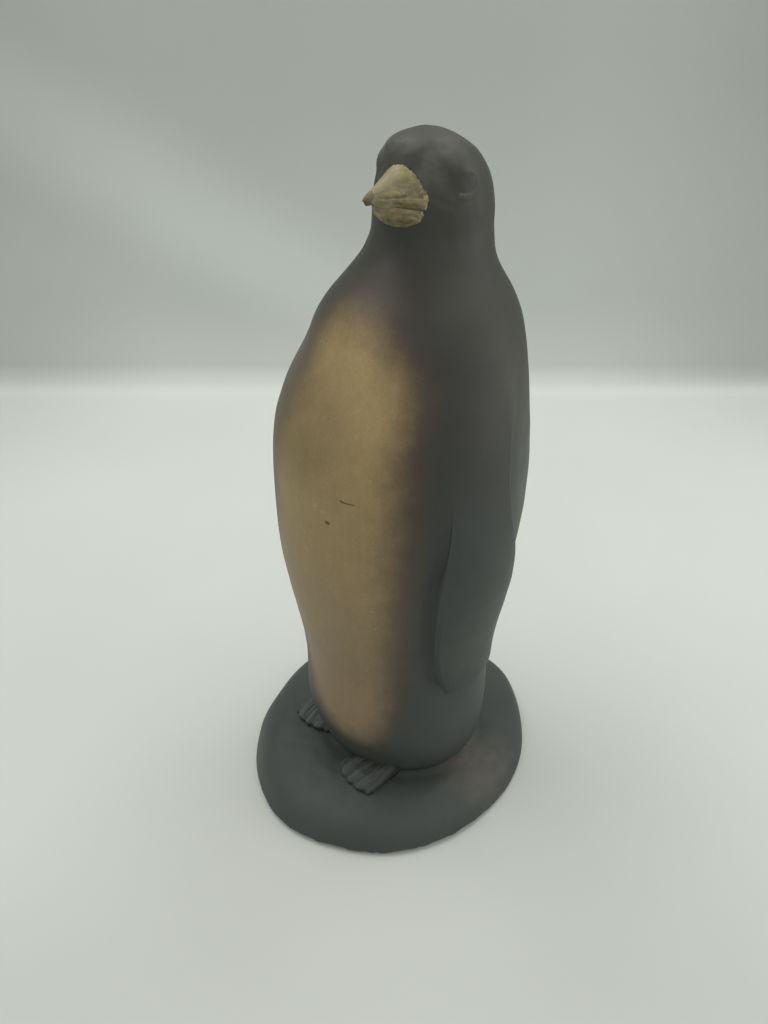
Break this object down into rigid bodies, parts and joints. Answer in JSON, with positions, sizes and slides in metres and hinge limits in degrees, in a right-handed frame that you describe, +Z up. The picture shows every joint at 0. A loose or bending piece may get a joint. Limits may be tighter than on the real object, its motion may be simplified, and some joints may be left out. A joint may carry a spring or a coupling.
{
  "type": "penguin figurine",
  "caption": "Standing penguin figurine on a pebble-shaped plinth, with wrapped flippers, a short pointed bill, webbed feet and a small tail; a free-standing ornament.",
  "frame": {"origin": "on the flat underside of the plinth, where the figure's plane of symmetry crosses it near its middle", "axes": "+Z up along the standing figure, -Y the way the figure faces, +X towards the figure's left flipper"},
  "size_m": [0.1166, 0.1303, 0.25],
  "materials": {
    "dark_coat": "matt dark grey-green coat on a cast body, with a soft-edged matt gold front",
    "bill_coat": "matt cream and gold coat, worn pale on the ridges",
    "eye_coat": "matt dark coat, a little smoother than the head"
  },
  "bodies": {
    "root": {"plinth": "dark_coat", "body": "dark_coat", "left_flipper": "dark_coat", "right_flipper": "dark_coat", "upper_bill": "bill_coat", "lower_bill": "bill_coat", "left_eye": "eye_coat", "right_eye": "eye_coat", "left_foot": "dark_coat", "right_foot": "dark_coat", "tail": "dark_coat"}
  },
  "joints": []
}
